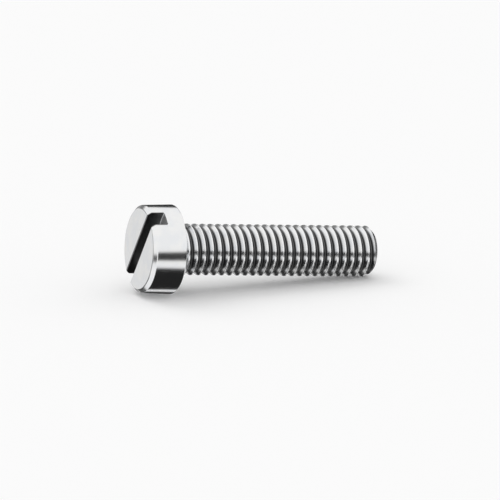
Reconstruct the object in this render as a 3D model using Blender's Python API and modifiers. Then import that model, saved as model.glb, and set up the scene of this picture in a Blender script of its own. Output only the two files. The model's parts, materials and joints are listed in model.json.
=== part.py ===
"""A slotted cheese head screw, M5 x 20, cold formed from one blank with a rolled thread.

It is modelled upright about the Z axis, with the bearing face of its head at z = 0, the head
above and the shank below. An empty then lays it on its side, as it would come to rest: on the
rim of its head and on the last full crest of its thread, with the head towards -X.
"""

import math

import bmesh
import bpy
from mathutils import Matrix, Vector

MM = 0.001

# Shank and thread, right-handed, with the crest, flanks and root of the ISO metric profile
THREAD_DIAMETER = 4.9 * MM
PITCH = 0.8 * MM
SHANK_LENGTH = 20.4 * MM
FLANK_ANGLE = math.radians(30.0)
TIP_ANGLE = math.radians(45.0)
TIP_RELIEF = 0.02 * MM

# Between the head and the first full thread
FILLET_RADIUS = 0.2 * MM
NECK_LENGTH = 0.25 * MM
RUNOUT_LENGTH = 0.7 * MM

# Head and slot
HEAD_DIAMETER = 8.5 * MM
HEAD_HEIGHT = 3.3 * MM
HEAD_TAPER = math.radians(1.5)
FACE_ROUNDING = 0.3 * MM
BEARING_ROUNDING = 0.1 * MM
SLOT_WIDTH = 1.5 * MM
SLOT_DEPTH = 1.6 * MM
SLOT_TURN = math.radians(-34.0)

# Facets: an odd number of the head's go to each of the thread's, so that their corners line up
THREAD_STEPS = 28
HEAD_STEPS = 3 * THREAD_STEPS
ROOT_STEPS = 2
FACE_ROUNDING_STEPS = 3
BEARING_ROUNDING_STEPS = 1
FILLET_STEPS = 2

# How far a cutter or a joined blank reaches past the surface that it crosses
OVERREACH = 0.3 * MM
MERGE_DISTANCE = 0.001 * MM
SHARP_ANGLE = math.radians(25.0)

# Thread profile, in the proportions of the sharp triangle that it is cut from
TRIANGLE_HEIGHT = PITCH / 2.0 / math.tan(FLANK_ANGLE)
CREST_WIDTH = PITCH / 8.0
ROOT_RADIUS = TRIANGLE_HEIGHT / 6.0
ROOT_DEPTH = TRIANGLE_HEIGHT * 17.0 / 24.0
PITCH_DEPTH = TRIANGLE_HEIGHT * 3.0 / 8.0

CREST_RADIUS = THREAD_DIAMETER / 2.0
ROOT_BOTTOM_RADIUS = CREST_RADIUS - ROOT_DEPTH
NECK_RADIUS = CREST_RADIUS - PITCH_DEPTH
TIP_RADIUS = ROOT_BOTTOM_RADIUS - TIP_RELIEF


def clear_scene():
    for obj in list(bpy.data.objects):
        bpy.data.objects.remove(obj, do_unlink=True)


def new_collection(name):
    collection = bpy.data.collections.new(name)
    bpy.context.scene.collection.children.link(collection)
    return collection


def arc(centre, radius, start, end, steps):
    """Points (radius, height) along an arc in the plane of a profile."""
    angles = [start + (end - start) * step / steps for step in range(steps + 1)]
    return [(centre[0] + radius * math.cos(a), centre[1] + radius * math.sin(a)) for a in angles]


def profile_mesh(name, points):
    """An open chain of edges in the XZ plane, from its top to its bottom."""
    mesh = bpy.data.meshes.new(name)
    drawing = bmesh.new()
    corners = [drawing.verts.new((radius, 0.0, height)) for radius, height in points]
    for upper, lower in zip(corners, corners[1:]):
        drawing.edges.new((upper, lower))
    drawing.to_mesh(mesh)
    drawing.free()
    return mesh


def weld(obj):
    """Merge corners that a sweep or a cut leaves on one spot."""
    modifier = obj.modifiers.new("Weld", "WELD")
    modifier.merge_threshold = MERGE_DISTANCE


def swept(name, points, steps, rise=0.0, turns=1):
    """A mesh of a profile swept about Z, with a facet centred on each axis of X and Y."""
    sweep = bpy.data.objects.new(name, profile_mesh(name, points))
    bpy.context.scene.collection.objects.link(sweep)
    screw = sweep.modifiers.new("Sweep", "SCREW")
    screw.axis = "Z"
    screw.steps = steps
    screw.render_steps = steps
    screw.screw_offset = rise
    screw.iterations = turns
    weld(sweep)
    depsgraph = bpy.context.evaluated_depsgraph_get()
    mesh = bpy.data.meshes.new_from_object(sweep.evaluated_get(depsgraph))
    mesh.transform(Matrix.Rotation(math.pi / steps, 4, "Z"))
    bpy.data.objects.remove(sweep, do_unlink=True)
    return mesh


def thread_profile(top):
    """One pitch of the thread: crest, flank, rounded root and flank."""
    root_centre = (ROOT_BOTTOM_RADIUS + ROOT_RADIUS, top - CREST_WIDTH / 2.0 - PITCH / 2.0)
    root_half = math.pi / 2.0 - FLANK_ANGLE
    root = arc(root_centre, ROOT_RADIUS, math.pi - root_half, math.pi + root_half, ROOT_STEPS)
    crest = [(CREST_RADIUS, top), (CREST_RADIUS, top - CREST_WIDTH)]
    return crest + root + [(CREST_RADIUS, top - PITCH)]


def close_with_points(mesh, bottom, top):
    """Draw the open rim at each end of a helical skin to a point on the axis."""
    skin = bmesh.new()
    skin.from_mesh(mesh)
    middle = (bottom + top) / 2.0
    rims = [edge for edge in skin.edges if edge.is_boundary]
    for height, above in ((bottom, False), (top, True)):
        rim = [edge for edge in rims if (edge.verts[0].co.z > middle) == above]
        drawn = bmesh.ops.extrude_edge_only(skin, edges=rim)["geom"]
        ends = [item for item in drawn if isinstance(item, bmesh.types.BMVert)]
        bmesh.ops.pointmerge(skin, verts=ends, merge_co=Vector((0.0, 0.0, height)))
    bmesh.ops.recalc_face_normals(skin, faces=skin.faces)
    skin.to_mesh(mesh)
    skin.free()


def threaded_rod():
    """A full thread from below the tip to inside the head, to be trimmed at both ends."""
    lowest = -SHANK_LENGTH - OVERREACH
    turns = math.ceil((SHANK_LENGTH + 2.0 * OVERREACH) / PITCH) + 1
    mesh = swept("threaded_rod", thread_profile(lowest), THREAD_STEPS, PITCH, turns)
    close_with_points(mesh, lowest - 2.0 * PITCH, lowest + (turns + 2) * PITCH)
    return mesh


def shank_envelope():
    """What the thread keeps: its ridge rises below the fillet and ends in the tip's chamfer."""
    first_full = -NECK_LENGTH - RUNOUT_LENGTH
    rise = (CREST_RADIUS - NECK_RADIUS) / (-FILLET_RADIUS - first_full)
    clear_radius = CREST_RADIUS + OVERREACH
    chamfer = (clear_radius - TIP_RADIUS) / math.tan(TIP_ANGLE)
    points = [
        (0.0, OVERREACH),
        (NECK_RADIUS - rise * (OVERREACH + FILLET_RADIUS), OVERREACH),
        (clear_radius, first_full - OVERREACH / rise),
        (clear_radius, -SHANK_LENGTH + chamfer),
        (TIP_RADIUS, -SHANK_LENGTH),
        (0.0, -SHANK_LENGTH),
    ]
    return swept("shank_envelope", points, THREAD_STEPS)


def head_blank():
    """The head with its rounded edges, the fillet under it, and the neck, whose end is a cone
    that fills the thread's groove less and less.
    """
    rim_radius = HEAD_DIAMETER / 2.0
    taper = math.tan(HEAD_TAPER)
    face_centre = (
        rim_radius - taper * (HEAD_HEIGHT - FACE_ROUNDING) - FACE_ROUNDING,
        HEAD_HEIGHT - FACE_ROUNDING,
    )
    bearing_centre = (rim_radius - BEARING_ROUNDING, BEARING_ROUNDING)
    fillet_centre = (NECK_RADIUS + FILLET_RADIUS, -FILLET_RADIUS)
    quarter = math.pi / 2.0
    fade = (NECK_RADIUS - ROOT_BOTTOM_RADIUS) / RUNOUT_LENGTH
    points = (
        [(0.0, HEAD_HEIGHT)]
        + arc(face_centre, FACE_ROUNDING, quarter, 0.0, FACE_ROUNDING_STEPS)
        + arc(bearing_centre, BEARING_ROUNDING, 0.0, -quarter, BEARING_ROUNDING_STEPS)
        + arc(fillet_centre, FILLET_RADIUS, quarter, 2.0 * quarter, FILLET_STEPS)
        + [(NECK_RADIUS, -NECK_LENGTH)]
        + [(0.0, -NECK_LENGTH - NECK_RADIUS / fade)]
    )
    return swept("head_blank", points, HEAD_STEPS)


def slot_box():
    """A saw cut across the face of the head."""
    depth = SLOT_DEPTH + OVERREACH
    box = bmesh.new()
    size = Matrix.Diagonal((HEAD_DIAMETER + 2.0 * OVERREACH, SLOT_WIDTH, depth, 1.0))
    place = Matrix.Translation((0.0, 0.0, HEAD_HEIGHT - SLOT_DEPTH + depth / 2.0))
    turn = Matrix.Rotation(SLOT_TURN, 4, "Z")
    bmesh.ops.create_cube(box, size=1.0, matrix=turn @ place @ size)
    mesh = bpy.data.meshes.new("slot_box")
    box.to_mesh(mesh)
    box.free()
    return mesh


def add_object(mesh, collection, holder, smooth=True):
    if smooth:
        mesh.shade_smooth()
        mesh.set_sharp_from_angle(angle=SHARP_ANGLE)
    obj = bpy.data.objects.new(mesh.name, mesh)
    collection.objects.link(obj)
    obj.parent = holder
    return obj


def add_guide(mesh, collection, holder, smooth=True):
    """A blank or cutter that shapes the screw and isn't a piece of its own."""
    guide = add_object(mesh, collection, holder, smooth)
    guide.hide_render = True
    guide.display_type = "WIRE"
    return guide


def shape_with(obj, guide, operation):
    boolean = obj.modifiers.new(guide.name, "BOOLEAN")
    boolean.object = guide
    boolean.operation = operation
    boolean.solver = "EXACT"


def zinc_plated_steel():
    material = bpy.data.materials.new("zinc_plated_steel")
    material.use_nodes = True
    shader = material.node_tree.nodes["Principled BSDF"]
    shader.inputs["Base Color"].default_value = (0.71, 0.73, 0.75, 1.0)
    shader.inputs["Metallic"].default_value = 1.0
    shader.inputs["Roughness"].default_value = 0.22
    return material


def evaluated_corners(obj):
    depsgraph = bpy.context.evaluated_depsgraph_get()
    evaluated = obj.evaluated_get(depsgraph)
    return [evaluated.matrix_world @ vertex.co for vertex in evaluated.data.vertices]


def lay_down(screw, holder):
    """Tip the upright screw onto its side, with the X side of its blank upwards."""
    corners = evaluated_corners(screw)
    rim = min(corners, key=lambda corner: (round(corner.x, 7), corner.z))
    shank = [corner for corner in corners if corner.z < -NECK_LENGTH]
    tilt = min(math.atan2(corner.x - rim.x, rim.z - corner.z) for corner in shank)
    holder.rotation_euler = (0.0, tilt - math.pi / 2.0, 0.0)
    bpy.context.view_layer.update()
    corners = evaluated_corners(screw)
    lows = [min(corner[axis] for corner in corners) for axis in range(3)]
    highs = [max(corner[axis] for corner in corners) for axis in range(3)]
    middle = [(low + high) / 2.0 for low, high in zip(lows, highs)]
    holder.location = (-middle[0], -middle[1], -lows[2])


def build():
    clear_scene()
    parts = new_collection("cheese_head_screw")
    guides = new_collection("blanks_and_cutters")
    holder = bpy.data.objects.new("lying_axis", None)
    parts.objects.link(holder)

    mesh = threaded_rod()
    mesh.name = "cheese_head_screw"
    mesh.materials.append(zinc_plated_steel())
    screw = add_object(mesh, parts, holder)
    shape_with(screw, add_guide(shank_envelope(), guides, holder), "INTERSECT")
    shape_with(screw, add_guide(head_blank(), guides, holder), "UNION")
    shape_with(screw, add_guide(slot_box(), guides, holder, smooth=False), "DIFFERENCE")
    weld(screw)
    bpy.context.view_layer.update()
    lay_down(screw, holder)


build()
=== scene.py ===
"""The finished look of a slotted cheese head screw: its rolled thread, its bright plating and the studio."""

import json
import math

import bpy
from mathutils import Matrix, Vector


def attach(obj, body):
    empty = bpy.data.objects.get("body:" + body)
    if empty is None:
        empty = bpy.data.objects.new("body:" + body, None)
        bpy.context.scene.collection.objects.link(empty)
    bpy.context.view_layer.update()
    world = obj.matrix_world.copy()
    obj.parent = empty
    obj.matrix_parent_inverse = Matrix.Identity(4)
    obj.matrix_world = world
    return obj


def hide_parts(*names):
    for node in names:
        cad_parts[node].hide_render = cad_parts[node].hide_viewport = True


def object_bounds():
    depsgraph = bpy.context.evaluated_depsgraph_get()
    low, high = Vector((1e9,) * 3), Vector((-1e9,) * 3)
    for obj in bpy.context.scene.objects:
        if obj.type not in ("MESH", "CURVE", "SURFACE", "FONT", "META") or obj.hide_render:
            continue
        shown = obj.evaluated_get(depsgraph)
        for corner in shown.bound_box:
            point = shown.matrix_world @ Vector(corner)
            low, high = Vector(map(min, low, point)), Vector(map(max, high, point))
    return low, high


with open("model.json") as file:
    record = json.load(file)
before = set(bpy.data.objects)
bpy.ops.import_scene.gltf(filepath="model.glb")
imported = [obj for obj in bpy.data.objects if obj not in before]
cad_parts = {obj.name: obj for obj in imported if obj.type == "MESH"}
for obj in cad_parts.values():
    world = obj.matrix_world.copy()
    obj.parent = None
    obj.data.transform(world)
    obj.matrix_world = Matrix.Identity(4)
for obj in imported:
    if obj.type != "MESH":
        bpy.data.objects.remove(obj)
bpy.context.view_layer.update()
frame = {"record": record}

MM = 0.001

# Where the screw lies: its mounts stand on its axis, or on the plane of its bearing face
mounts = {mount["name"]: mount for mount in frame["record"]["mounts"]}
TIP = Vector(mounts["tip_face"]["pos_m"])
SLOT_FLOOR = Vector(mounts["slot_floor"]["pos_m"])
UP_THE_SCREW = (SLOT_FLOOR - TIP).normalized()
BEARING = TIP + UP_THE_SCREW * (Vector(mounts["bearing_face"]["pos_m"]) - TIP).dot(UP_THE_SCREW)
SHANK_LENGTH = (BEARING - TIP).length
SLOT_FLOOR_HEIGHT = (SLOT_FLOOR - BEARING).length

# Sizes of the solid
THREAD_DIAMETER = 4.9 * MM
PITCH = 0.8 * MM
THREAD_FACETS = 28
FLANK_ANGLE = math.radians(30.0)
TIP_ANGLE = math.radians(45.0)
TIP_RELIEF = 0.02 * MM
FILLET_RADIUS = 0.2 * MM
NECK_LENGTH = 0.25 * MM
RUNOUT_LENGTH = 0.7 * MM
HEAD_DIAMETER = 8.5 * MM
HEAD_HEIGHT = 3.3 * MM
HEAD_TAPER = math.radians(1.5)
BEARING_ROUNDING = 0.1 * MM
SLOT_WIDTH = 1.5 * MM
SLOT_TURN = math.radians(-34.0)

# Edges in a finer form than the solid's
FACE_CHAMFER = 0.34 * MM
CHAMFER_EDGE = 0.18 * MM
CREST_ROUNDING = 0.05 * MM
TIP_ROUNDING = 0.12 * MM
SLOT_EDGE = 0.1 * MM
SLOT_EDGE_TURN = math.radians(70.0)
SLOT_CORNER = 0.08 * MM

# How far a cutter or a joined blank reaches past the surface that it crosses
OVERREACH = 0.3 * MM

# Facets of the visible mesh
THREAD_STEPS = 96
HEAD_STEPS = 192
CORNER_STEPS = 5
MERGE_DISTANCE = 0.0005 * MM
FLAT_ANGLE = math.radians(0.2)
SHARP_ANGLE = math.radians(32.0)

# Thread profile, in the proportions of the sharp triangle that it is cut from
TRIANGLE_HEIGHT = PITCH / 2.0 / math.tan(FLANK_ANGLE)
ROOT_ROUNDING = TRIANGLE_HEIGHT / 6.0
CREST_RADIUS = THREAD_DIAMETER / 2.0
CREST_HALF = PITCH / 16.0
VALLEY_RADIUS = CREST_RADIUS - TRIANGLE_HEIGHT * 7.0 / 8.0
ROOT_RADIUS = VALLEY_RADIUS + ROOT_ROUNDING
NECK_RADIUS = CREST_RADIUS - TRIANGLE_HEIGHT * 3.0 / 8.0
THREAD_DEPTH = CREST_RADIUS - ROOT_RADIUS

# The camera stands where the drawing is seen from, so far off that nothing looks foreshortened
AZIMUTH = math.radians(-21.2)
ELEVATION = math.radians(12.8)
LENS = 600.0
SENSOR = 36.0
FRAME_WIDTH = 47.6 * MM
AIM_BELOW_HEAD = 8.05 * MM
CLIP_NEAR = 1.0 * MM
CLIP_FAR = 10.0

# Colours of the plating, and the near-black colour of painted shade in the grooves and the slot
PLATING_COOL = (0.81, 0.82, 0.835, 1.0)
PLATING_WARM = (0.86, 0.86, 0.855, 1.0)
PLATING_POLISHED = (0.92, 0.92, 0.92, 1.0)
PAINTED_SHADE_COLOUR = (0.035, 0.035, 0.035, 1.0)
# Painted shade in the grooves, darkest near the root, fading out near the tip
GROOVE_DARKEST = ROOT_RADIUS + 0.25 * THREAD_DEPTH
GROOVE_CLEAR = ROOT_RADIUS + 0.6 * THREAD_DEPTH
GROOVE_SHADE = 0.9
# Painted shade in the slot, which reaches over most of its rounded mouth
SLOT_DARKEST = SLOT_WIDTH / 2.0 + 0.6 * SLOT_EDGE
SLOT_CLEAR = SLOT_WIDTH / 2.0 + SLOT_EDGE
SLOT_SHADE = 0.8
CREST_POLISH = 0.6
TIP_SHADE_FADE = 0.3 * MM

# Marks in the plating: broad clouds, fine grain, and fine rings that turn round the axis
CLOUD_SIZE = 1.2 * MM
CLOUD_DETAIL = 3.0
CLOUD_BOUNDS = (0.35, 0.65)
GRAIN_SIZE = 0.08 * MM
TURNING_PITCH = 0.12 * MM
FINE_DETAIL = 2.0
GRAIN_SHARE = 0.5
TURNING_SHARE = 0.5
MARK_DEPTH = 0.0004 * MM

# Roughness of the plating, and what each mark and place adds to it or takes away
PLATING_ROUGHNESS = 0.14
CLOUD_ROUGHNESS = 0.04
TURNING_ROUGHNESS = 0.03
CREST_SMOOTHNESS = 0.03
GROOVE_ROUGHNESS = 0.12
SLOT_FLOOR_ROUGHNESS = 0.25

# The studio, which the plating mirrors. A card covers the directions between two steps to the
# right, to the back and up, on a scale where 1 is straight that way, and hides a share of the light.
# It is named for where it stands, or for what it darkens on the screw.
BLACK_CARDS = {
    "front": {"right": (-0.05, 1.0), "back": (-1.0, -0.15), "up": (-0.32, 0.03), "black": 1.0},
    "back": {"right": (-1.0, 1.0), "back": (0.77, 1.0), "up": (0.1, 0.41), "black": 0.8},
    "rim": {"right": (-0.87, -0.45), "back": (0.45, 0.85), "up": (-0.4, 0.15), "black": 0.9},
    "back_right": {"right": (0.45, 0.85), "back": (0.5, 1.0), "up": (-0.45, 0.1), "black": 0.85},
    "left_front": {"right": (-1.0, -0.75), "back": (-1.0, -0.1), "up": (-0.24, -0.02), "black": 0.95},
    "left_back": {"right": (-1.0, -0.83), "back": (0.11, 1.0), "up": (-0.32, 0.03), "black": 0.8},
    "right_front": {"right": (0.83, 1.0), "back": (-1.0, -0.11), "up": (-0.32, 0.03), "black": 0.8},
    "right_back": {"right": (0.83, 1.0), "back": (0.11, 1.0), "up": (-0.32, 0.03), "black": 0.8},
    "table_below": {"right": (-0.2, 1.0), "back": (-1.0, 0.46), "up": (-1.0, -0.616), "black": 1.0},
    "outline": {"right": (0.1, 0.7), "back": (0.65, 1.0), "up": (-0.75, 0.42), "black": 1.0},
    "flanks": {"right": (-0.9, -0.15), "back": (0.25, 0.87), "up": (-0.6, -0.4), "black": 1.0},
    "table_behind": {"right": (-1.0, 0.0), "back": (0.55, 1.0), "up": (-1.0, -0.4), "black": 0.9},
}
CARD_EDGE = 0.04
CARD_BLACK = (0.02, 0.02, 0.02, 1.0)
WHITE = (1.0, 1.0, 1.0, 1.0)

# The light from all round, as a matt surface gets it
AMBIENT = (0.87, 0.87, 0.87, 1.0)

# The mirrored backdrop is a little grey, fading in towards the back and out towards the top
BACKDROP_SHADE = 0.15
BACKDROP_NEAR = (0.2, 0.7)
BACKDROP_TOP = (0.0, 0.5)

# The key lamp, and the table under the screw
KEY_ENERGY = 0.5
KEY_SOFTNESS = math.radians(40.0)
KEY_TURN = (math.radians(-35.0), math.radians(-20.0), 0.0)
TABLE_WHITE = (0.97, 0.97, 0.97, 1.0)
TABLE_ROUGHNESS = 0.9
TABLE_SIZE = 4.0

# Sockets of a Mix node that mixes colours
MIX_FACTOR, MIX_FIRST, MIX_SECOND, MIX_COLOUR = 0, 6, 7, 2


def deselect_all():
    for obj in bpy.context.selected_objects:
        obj.select_set(False)


def start_editing(piece, picking="VERT"):
    """One piece alone is selected and open for editing, with nothing in it selected."""
    deselect_all()
    piece.select_set(True)
    bpy.context.view_layer.objects.active = piece
    bpy.ops.object.mode_set(mode="EDIT")
    bpy.ops.mesh.select_mode(type=picking)
    bpy.ops.mesh.select_all(action="DESELECT")


def stop_editing():
    bpy.ops.object.mode_set(mode="OBJECT")


def edit_only(piece, picking, wanted):
    """Open one piece for editing, with only the wanted edges or faces selected."""
    start_editing(piece, picking)
    stop_editing()
    parts = piece.data.edges if picking == "EDGE" else piece.data.polygons
    for part in parts:
        part.select = wanted(part)
    bpy.ops.object.mode_set(mode="EDIT")


def apply(piece, modifier):
    """Apply a modifier, then merge the corners that it leaves on one spot."""
    bpy.context.view_layer.objects.active = piece
    bpy.ops.object.modifier_apply(modifier=modifier.name)
    start_editing(piece)
    bpy.ops.mesh.select_all(action="SELECT")
    bpy.ops.mesh.remove_doubles(threshold=MERGE_DISTANCE)
    stop_editing()


def rounded(corners):
    """An outline through corners (radius, height, rounding), each turned along an arc."""
    points = []
    for index, (across, height, rounding) in enumerate(corners):
        corner = Vector((across, 0.0, height))
        if rounding == 0.0:
            points.append(corner)
            continue
        back = (Vector((corners[index - 1][0], 0.0, corners[index - 1][1])) - corner).normalized()
        ahead = (Vector((corners[index + 1][0], 0.0, corners[index + 1][1])) - corner).normalized()
        half = back.angle(ahead) / 2.0
        centre = corner + (back + ahead).normalized() * rounding / math.sin(half)
        first = corner + back * rounding / math.tan(half) - centre
        last = corner + ahead * rounding / math.tan(half) - centre
        turn = first.angle(last)
        for step in range(CORNER_STEPS + 1):
            share = step / CORNER_STEPS
            blend = first * math.sin((1.0 - share) * turn) + last * math.sin(share * turn)
            points.append(centre + blend / math.sin(turn))
    return points


def drawn(name, points):
    """A chain of edges, drawn from point to point out of one corner."""
    deselect_all()
    bpy.ops.mesh.primitive_plane_add(size=PITCH, location=points[0])
    piece = bpy.context.object
    piece.name = name
    bpy.ops.object.transform_apply(location=True, rotation=True, scale=True)
    start_editing(piece)
    bpy.ops.mesh.select_all(action="SELECT")
    bpy.ops.mesh.merge(type="CENTER")
    for here, there in zip(points, points[1:]):
        bpy.ops.mesh.extrude_region_move(TRANSFORM_OT_translate={"value": there - here})
    stop_editing()
    return piece


def swept(piece, steps, rise=0.0, turns=1):
    """Turn a drawn outline round the screw's axis, climbing by a pitch a turn for a thread."""
    screw = piece.modifiers.new("Sweep", "SCREW")
    screw.axis = "Z"
    screw.steps = steps
    screw.render_steps = steps
    screw.screw_offset = rise
    screw.iterations = turns
    apply(piece, screw)
    return piece


def close_end(piece, above):
    """Draw the open rim at one end of the helical skin together into a point."""
    start_editing(piece, picking="EDGE")
    bpy.ops.mesh.select_non_manifold()
    stop_editing()
    middle = -SHANK_LENGTH / 2.0
    mesh = piece.data
    for edge in mesh.edges:
        edge.select = edge.select and (mesh.vertices[edge.vertices[0]].co.z > middle) == above
    bpy.ops.object.mode_set(mode="EDIT")
    bpy.ops.mesh.extrude_region_move()
    bpy.ops.mesh.merge(type="CENTER")
    stop_editing()


def rolled_thread():
    """The whole thread, longer than the shank at both ends."""
    lowest = -SHANK_LENGTH - OVERREACH
    turns = math.ceil((SHANK_LENGTH + 2.0 * OVERREACH) / PITCH) + 1
    crest_middle = lowest - CREST_HALF
    corners = [
        (CREST_RADIUS, crest_middle, 0.0),
        (CREST_RADIUS, crest_middle - CREST_HALF, CREST_ROUNDING),
        (VALLEY_RADIUS, crest_middle - PITCH / 2.0, ROOT_ROUNDING),
        (CREST_RADIUS, crest_middle - PITCH + CREST_HALF, CREST_ROUNDING),
        (CREST_RADIUS, crest_middle - PITCH, 0.0),
    ]
    thread = swept(drawn("plated_screw", rounded(corners)), THREAD_STEPS, PITCH, turns)
    close_end(thread, above=False)
    close_end(thread, above=True)
    start_editing(thread)
    bpy.ops.mesh.select_all(action="SELECT")
    bpy.ops.mesh.normals_make_consistent()
    # The solid's thread is turned by half of one of its facets, and this one keeps step with it
    bpy.ops.transform.rotate(
        value=-math.pi / THREAD_FACETS, orient_axis="Z", center_override=(0.0, 0.0, 0.0)
    )
    stop_editing()
    return thread


def kept_shank():
    """What is kept of the thread: a ridge that rises from the neck, and a chamfered tip.

    The ridge starts between the end of the fillet and the end of the neck, level with neither, so
    that it meets the head's mesh away from its rings of corners.
    """
    first_full = -NECK_LENGTH - RUNOUT_LENGTH
    ridge_start = -(FILLET_RADIUS + 2.0 * NECK_LENGTH) / 3.0
    rise = (CREST_RADIUS - NECK_RADIUS) / (ridge_start - first_full)
    clear_radius = CREST_RADIUS + OVERREACH
    tip_radius = ROOT_RADIUS - TIP_RELIEF
    chamfer = (clear_radius - tip_radius) / math.tan(TIP_ANGLE)
    corners = [
        (0.0, OVERREACH, 0.0),
        (NECK_RADIUS - rise * (OVERREACH - ridge_start), OVERREACH, 0.0),
        (clear_radius, first_full - OVERREACH / rise, 0.0),
        (clear_radius, -SHANK_LENGTH + chamfer, 0.0),
        (tip_radius, -SHANK_LENGTH, TIP_ROUNDING),
        (0.0, -SHANK_LENGTH, 0.0),
    ]
    return swept(drawn("kept_shank", rounded(corners)), HEAD_STEPS)


def turned_head():
    """The head with its rounded edges, the fillet under it and the neck below that."""
    side_top = HEAD_HEIGHT - FACE_CHAMFER
    side_radius = HEAD_DIAMETER / 2.0 - side_top * math.tan(HEAD_TAPER)
    fade = (NECK_RADIUS - ROOT_RADIUS) / RUNOUT_LENGTH
    corners = [
        (0.0, HEAD_HEIGHT, 0.0),
        (side_radius - FACE_CHAMFER, HEAD_HEIGHT, CHAMFER_EDGE),
        (side_radius, side_top, CHAMFER_EDGE),
        (HEAD_DIAMETER / 2.0, 0.0, BEARING_ROUNDING),
        (NECK_RADIUS, 0.0, FILLET_RADIUS),
        (NECK_RADIUS, -NECK_LENGTH, 0.0),
        (0.0, -NECK_LENGTH - NECK_RADIUS / fade, 0.0),
    ]
    return swept(drawn("turned_head", rounded(corners)), HEAD_STEPS)


def slot_saw():
    """What the slot removes: a bar with rounded lower corners, flared where it leaves the face.

    The flare runs on through the face at a slope, so that no edge of the saw lies in the face.
    """
    depth = HEAD_HEIGHT - SLOT_FLOOR_HEIGHT - SLOT_EDGE
    deselect_all()
    bpy.ops.mesh.primitive_cube_add(size=1.0, location=(0.0, 0.0, SLOT_FLOOR_HEIGHT + depth / 2.0))
    saw = bpy.context.object
    saw.name = "slot_saw"
    saw.scale = (HEAD_DIAMETER + 2.0 * OVERREACH, SLOT_WIDTH, depth)
    bpy.ops.object.transform_apply(location=True, rotation=True, scale=True)

    def is_lower_corner(edge):
        ends = [saw.data.vertices[index].co for index in edge.vertices]
        along = abs(ends[0].x - ends[1].x) > SLOT_WIDTH
        return along and max(end.z for end in ends) < SLOT_FLOOR_HEIGHT + SLOT_EDGE

    edit_only(saw, "EDGE", is_lower_corner)
    bpy.ops.mesh.bevel(offset=SLOT_CORNER, segments=CORNER_STEPS, affect="EDGES")
    stop_editing()
    edit_only(saw, "FACE", lambda face: face.normal.z > math.cos(FLAT_ANGLE))
    width = SLOT_WIDTH
    turns = [SLOT_EDGE_TURN * step / CORNER_STEPS for step in range(CORNER_STEPS + 1)]
    flare = [(math.sin(turn), 1.0 - math.cos(turn)) for turn in turns]
    flare.append((flare[-1][0] + 1.0, flare[-1][1] + math.tan(SLOT_EDGE_TURN)))
    for (low, _), (high, out) in zip(flare, flare[1:]):
        wider = SLOT_WIDTH + 2.0 * SLOT_EDGE * out
        lift = (0.0, 0.0, SLOT_EDGE * (high - low))
        bpy.ops.mesh.extrude_region_move(TRANSFORM_OT_translate={"value": lift})
        bpy.ops.transform.resize(value=(1.0, wider / width, 1.0))
        width = wider
    bpy.ops.mesh.select_all(action="SELECT")
    bpy.ops.transform.rotate(
        value=-SLOT_TURN, orient_axis="Z", center_override=(0.0, 0.0, 0.0)
    )
    stop_editing()
    return saw


def combine(piece, other, operation):
    """Cut a piece by another, join them or keep what they share, and remove the other."""
    boolean = piece.modifiers.new(other.name, "BOOLEAN")
    boolean.object = other
    boolean.operation = operation
    boolean.solver = "EXACT"
    apply(piece, boolean)
    bpy.data.objects.remove(other, do_unlink=True)


def join_flats(piece):
    """Join the triangles of each surface that is square to the upright screw, so it shades flat."""
    edit_only(piece, "FACE", lambda face: abs(face.normal.z) > math.cos(FLAT_ANGLE))
    bpy.ops.mesh.dissolve_limited(angle_limit=FLAT_ANGLE)
    stop_editing()


def screw_frame():
    """From the upright screw, with its bearing face at the origin, to where it lies."""
    along = UP_THE_SCREW
    across = Vector((0.0, 1.0, 0.0))
    turned = Matrix((across.cross(along), across, along)).transposed().to_4x4()
    return Matrix.Translation(BEARING) @ turned


def plated_screw():
    """The whole screw, made upright and then laid down, its slot cut before the head is joined on."""
    head = turned_head()
    combine(head, slot_saw(), "DIFFERENCE")
    screw = rolled_thread()
    combine(screw, kept_shank(), "INTERSECT")
    combine(screw, head, "UNION")
    join_flats(screw)
    screw.matrix_world = screw_frame()
    deselect_all()
    screw.select_set(True)
    bpy.context.view_layer.objects.active = screw
    bpy.ops.object.transform_apply(location=True, rotation=True, scale=True)
    bpy.ops.object.shade_smooth_by_angle(angle=SHARP_ANGLE)
    flat_faces = screw.modifiers.new("Large faces shade flat", "WEIGHTED_NORMAL")
    flat_faces.keep_sharp = True
    bpy.ops.object.modifier_apply(modifier=flat_faces.name)
    return screw


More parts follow.
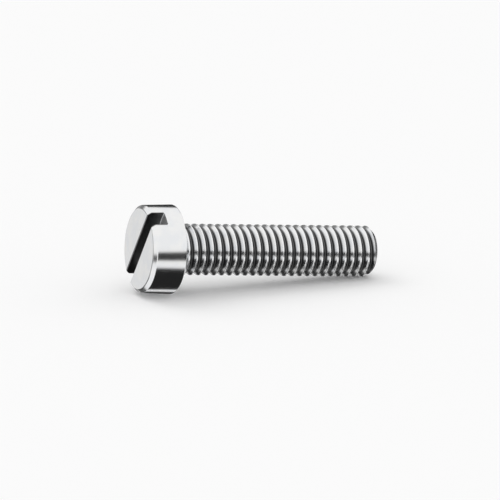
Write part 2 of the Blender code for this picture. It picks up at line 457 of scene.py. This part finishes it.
class Wire:
    """A shader socket that Python's operators carry on, adding a node for each step."""

    def __init__(self, tree, socket=None):
        self.tree = tree
        self.socket = socket

    def node(self, kind, settings=None, inputs=None, output=0):
        """Add a node, set its settings, then give its sockets their values or wires."""
        node = self.tree.nodes.new(kind)
        for name, value in (settings or {}).items():
            setattr(node, name, value)
        for name, value in (inputs or {}).items():
            if isinstance(value, Wire):
                self.tree.links.new(value.socket, node.inputs[name])
            else:
                node.inputs[name].default_value = value
        return Wire(self.tree, node.outputs[output]) if node.outputs else None

    def maths(self, operation, *values):
        inputs = dict(enumerate(values))
        return self.node("ShaderNodeMath", {"operation": operation}, inputs)

    def __add__(self, other):
        return self.maths("ADD", self, other)

    def __radd__(self, other):
        return self.maths("ADD", other, self)

    def __sub__(self, other):
        return self.maths("SUBTRACT", self, other)

    def __rsub__(self, other):
        return self.maths("SUBTRACT", other, self)

    def __mul__(self, other):
        return self.maths("MULTIPLY", self, other)

    def __rmul__(self, other):
        return self.maths("MULTIPLY", other, self)

    def __pow__(self, other):
        return self.maths("POWER", self, other)

    def __abs__(self):
        return self.maths("ABSOLUTE", self)

    def axes(self):
        """The three parts of a vector."""
        first = self.node("ShaderNodeSeparateXYZ", inputs={"Vector": self})
        return [Wire(self.tree, socket) for socket in first.socket.node.outputs]

    def rising(self, low, high):
        """0 below low and 1 above high, with a soft slope between."""
        inputs = {"Value": self, "From Min": low, "From Max": high}
        return self.node("ShaderNodeMapRange", {"interpolation_type": "SMOOTHSTEP"}, inputs)

    def colour(self, first, second):
        """From the first colour, where this is 0, to the second, where it is 1."""
        inputs = {MIX_FACTOR: self, MIX_FIRST: first, MIX_SECOND: second}
        return self.node("ShaderNodeMix", {"data_type": "RGBA"}, inputs, MIX_COLOUR)

    def noise(self, size, detail):
        """Noise in patches of about this size, read at this point."""
        inputs = {"Vector": self, "Scale": 1.0 / size, "Detail": detail}
        return self.node("ShaderNodeTexNoise", inputs=inputs)


def new_material(name):
    material = bpy.data.materials.new(name)
    material.use_nodes = True
    material.node_tree.nodes.clear()
    return material, Wire(material.node_tree)


def bright_plating():
    """Bright zinc, clearest on the crests, rougher in the grooves and the slot, and darkened there by
    painted shade.
    """
    material, start = new_material("bright_plating")
    place = screw_frame()
    point = start.node(
        "ShaderNodeMapping",
        {"vector_type": "TEXTURE"},
        {
            "Vector": start.node("ShaderNodeTexCoord", output="Object"),
            "Location": place.to_translation(),
            "Rotation": place.to_euler(),
        },
    )
    x, y, z = point.axes()
    radius = (x * x + y * y) ** 0.5
    on_shank = 1.0 - z.rising(-NECK_LENGTH, 0.0)
    above_tip = z.rising(-SHANK_LENGTH, -SHANK_LENGTH + TIP_SHADE_FADE)
    groove = on_shank * above_tip * (1.0 - radius.rising(GROOVE_DARKEST, GROOVE_CLEAR))
    crest = on_shank * radius.rising(CREST_RADIUS - 2.0 * CREST_ROUNDING, CREST_RADIUS)
    from_slot = abs(y * math.cos(SLOT_TURN) - x * math.sin(SLOT_TURN))
    in_slot = 1.0 - from_slot.rising(SLOT_DARKEST, SLOT_CLEAR)
    above_floor = z.rising(SLOT_FLOOR_HEIGHT, SLOT_FLOOR_HEIGHT + SLOT_CORNER)
    slot_wall = in_slot * above_floor
    slot_floor = in_slot * z.rising(SLOT_FLOOR_HEIGHT - SLOT_CORNER, SLOT_FLOOR_HEIGHT)
    slot_floor = slot_floor * (1.0 - above_floor)

    cloud = point.noise(CLOUD_SIZE, CLOUD_DETAIL)
    grain = point.noise(GRAIN_SIZE, FINE_DETAIL)
    turning = start.node(
        "ShaderNodeTexNoise",
        {"noise_dimensions": "1D"},
        {"W": radius + z * (1.0 - on_shank), "Scale": 1.0 / TURNING_PITCH, "Detail": FINE_DETAIL},
    )
    plating = cloud.rising(*CLOUD_BOUNDS).colour(PLATING_COOL, PLATING_WARM)
    plating = (crest * CREST_POLISH).colour(plating, PLATING_POLISHED)
    # Painted shade: the grooves darken towards near-black, deepest at the root and fading out at the tip
    plating = (groove * GROOVE_SHADE).colour(plating, PAINTED_SHADE_COLOUR)
    # Painted shade: the slot's walls and most of its rounded mouth darken towards the same near-black
    plating = (slot_wall * SLOT_SHADE).colour(plating, PAINTED_SHADE_COLOUR)
    roughness = (
        PLATING_ROUGHNESS
        + cloud * CLOUD_ROUGHNESS
        + turning * TURNING_ROUGHNESS
        - crest * CREST_SMOOTHNESS
        + (groove + slot_wall) * GROOVE_ROUGHNESS
        + slot_floor * SLOT_FLOOR_ROUGHNESS
    )
    marks = grain * GRAIN_SHARE + turning * TURNING_SHARE
    bump = start.node(
        "ShaderNodeBump",
        inputs={"Height": marks, "Distance": MARK_DEPTH, "Strength": 1.0},
    )
    shader = start.node(
        "ShaderNodeBsdfPrincipled",
        inputs={"Base Color": plating, "Roughness": roughness, "Metallic": 1.0, "Normal": bump},
    )
    start.node("ShaderNodeOutputMaterial", inputs={"Surface": shader})
    return material


def pale_table():
    """Matt white, with no gloss at all."""
    material, start = new_material("pale_table")
    inputs = {"Base Color": TABLE_WHITE, "Roughness": TABLE_ROUGHNESS, "Specular IOR Level": 0.0}
    shader = start.node("ShaderNodeBsdfPrincipled", inputs=inputs)
    start.node("ShaderNodeOutputMaterial", inputs={"Surface": shader})
    return material


def lay_table():
    """The table that the screw lies on, which the plating doesn't mirror."""
    deselect_all()
    bpy.ops.mesh.primitive_plane_add(size=TABLE_SIZE, location=(0.0, 0.0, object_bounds()[0].z))
    table = bpy.context.object
    table.name = "table"
    table.data.materials.append(pale_table())
    table.visible_glossy = False


def light_studio():
    """White light from all round, with black cards that only reflections show, and a key lamp."""
    world = bpy.data.worlds.new("studio")
    bpy.context.scene.world = world
    world.use_nodes = True
    world.node_tree.nodes.clear()
    start = Wire(world.node_tree)
    x, y, z = start.node("ShaderNodeTexCoord", output="Generated").axes()
    backdrop = y.rising(*BACKDROP_NEAR) * (1.0 - z.rising(*BACKDROP_TOP))
    reflected = 1.0 - BACKDROP_SHADE * backdrop
    for card in BLACK_CARDS.values():
        cover = card["black"]
        for direction, name in ((x, "right"), (y, "back"), (z, "up")):
            low, high = card[name]
            # A card that reaches all the way has no edge on that side
            if low > -1.0:
                cover = cover * direction.rising(low - CARD_EDGE, low + CARD_EDGE)
            if high < 1.0:
                cover = cover * (1.0 - direction.rising(high - CARD_EDGE, high + CARD_EDGE))
        reflected = reflected * (1.0 - cover)
    is_reflection, is_view, is_behind_glass = (
        start.node("ShaderNodeLightPath", output=ray)
        for ray in ("Is Glossy Ray", "Is Camera Ray", "Is Transmission Ray")
    )
    seen = is_reflection.colour(AMBIENT, reflected.colour(CARD_BLACK, WHITE))
    seen = (is_view + is_behind_glass).colour(seen, WHITE)
    background = start.node("ShaderNodeBackground", inputs={"Color": seen, "Strength": 1.0})
    start.node("ShaderNodeOutputWorld", inputs={"Surface": background})

    lamp = bpy.data.lights.new("key", "SUN")
    lamp.energy = KEY_ENERGY
    lamp.angle = KEY_SOFTNESS
    key = bpy.data.objects.new("key", lamp)
    bpy.context.scene.collection.objects.link(key)
    key.rotation_euler = KEY_TURN
    key.visible_glossy = False


def place_camera():
    """The camera, aimed at a point on the axis of the shank."""
    lens = bpy.data.cameras.new("camera")
    lens.lens = LENS
    lens.sensor_width = SENSOR
    lens.clip_start = CLIP_NEAR
    lens.clip_end = CLIP_FAR
    camera = bpy.data.objects.new("camera", lens)
    bpy.context.scene.collection.objects.link(camera)
    back = Vector((
        math.sin(AZIMUTH) * math.cos(ELEVATION),
        -math.cos(AZIMUTH) * math.cos(ELEVATION),
        math.sin(ELEVATION),
    ))
    aim = BEARING - UP_THE_SCREW * AIM_BELOW_HEAD
    camera.location = aim + back * FRAME_WIDTH * LENS / SENSOR
    camera.rotation_euler = back.to_track_quat("Z", "Y").to_euler()
    bpy.context.scene.camera = camera


screw = plated_screw()
screw.data.materials.clear()
screw.data.materials.append(bright_plating())
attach(screw, "root")
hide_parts("cheese_head_screw")
lay_table()
light_studio()
place_camera()
bpy.context.scene.view_settings.view_transform = "Standard"
